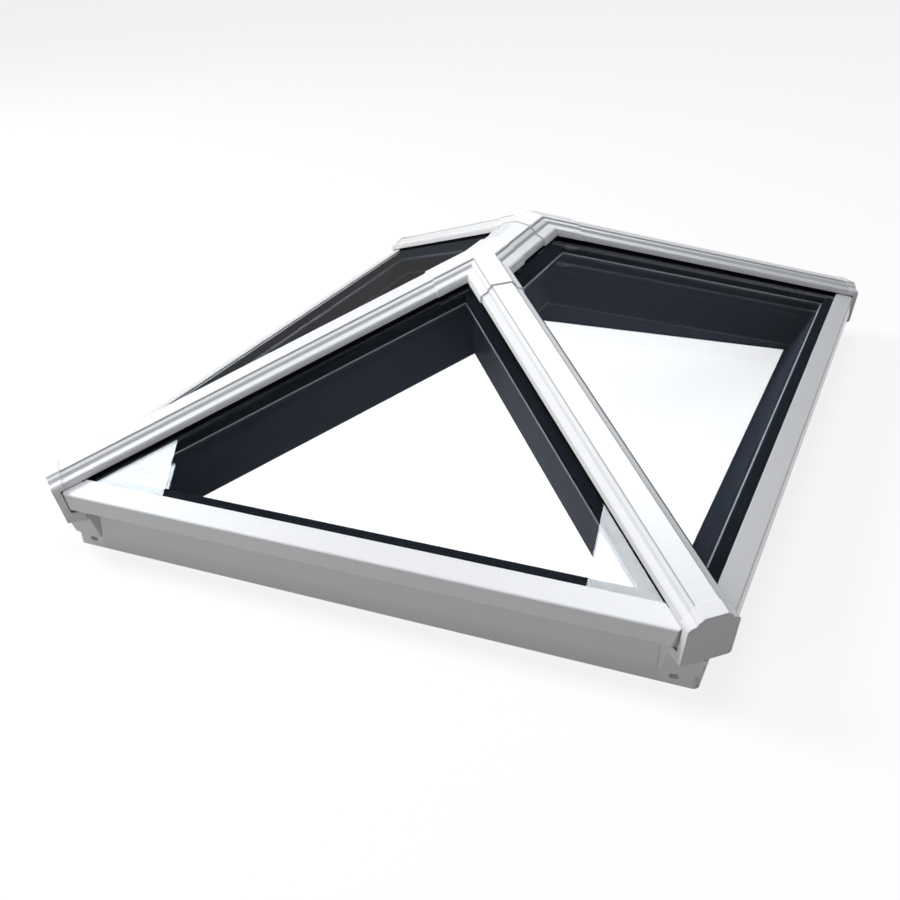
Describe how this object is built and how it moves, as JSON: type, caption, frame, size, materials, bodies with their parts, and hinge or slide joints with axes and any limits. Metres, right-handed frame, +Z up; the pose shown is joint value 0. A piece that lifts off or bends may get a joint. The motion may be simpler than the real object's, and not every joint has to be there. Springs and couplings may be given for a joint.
{
  "type": "hipped roof lantern",
  "caption": "Hipped glass roof lantern with sloping double-glazed panes, stepped white hip and ridge cappings, and a ring of eaves beams that sits on a kerb.",
  "frame": {"origin": "centre of the base rectangle, at the level of the flange's foot", "axes": "+Z up, +Y along the ridge, +X across to the right"},
  "size_m": [1.0172, 1.2302, 0.3587],
  "materials": {
    "white_coating": "satin white powder coat",
    "ring_coating": "satin white powder coat outside, anthracite inside",
    "white_moulding": "fine-grained white moulding",
    "dark_coating": "satin anthracite powder coat",
    "glass": "clear, with a faint cool tint",
    "spacer": "matt bar",
    "gasket": "matt black"
  },
  "bodies": {
    "root": {"ring_beam_front": "ring_coating", "ring_beam_back": "ring_coating", "ring_beam_right": "ring_coating", "ring_beam_left": "ring_coating", "ring_corner_front_right": "white_moulding", "ring_corner_front_left": "white_moulding", "ring_corner_back_right": "white_moulding", "ring_corner_back_left": "white_moulding", "eaves_cover_front": "white_coating", "eaves_cover_back": "white_coating", "eaves_cover_right": "white_coating", "eaves_cover_left": "white_coating", "hip_beam_front_right": "dark_coating", "hip_beam_front_left": "dark_coating", "hip_beam_back_right": "dark_coating", "hip_beam_back_left": "dark_coating", "ridge_beam": "dark_coating", "hip_cap_front_right": "white_coating", "hip_cap_front_left": "white_coating", "hip_cap_back_right": "white_coating", "hip_cap_back_left": "white_coating", "ridge_cap": "white_coating", "boss_cover_front": "white_moulding", "boss_cover_back": "white_moulding", "hip_end_cap_front_right": "white_moulding", "hip_end_cap_front_left": "white_moulding", "hip_end_cap_back_right": "white_moulding", "hip_end_cap_back_left": "white_moulding", "glass_front": "glass", "glass_back": "glass", "glass_right": "glass", "glass_left": "glass", "glass_spacer_front": "spacer", "glass_spacer_back": "spacer", "glass_spacer_right": "spacer", "glass_spacer_left": "spacer", "gaskets_front": "gasket", "gaskets_back": "gasket", "gaskets_right": "gasket", "gaskets_left": "gasket"}
  },
  "joints": []
}
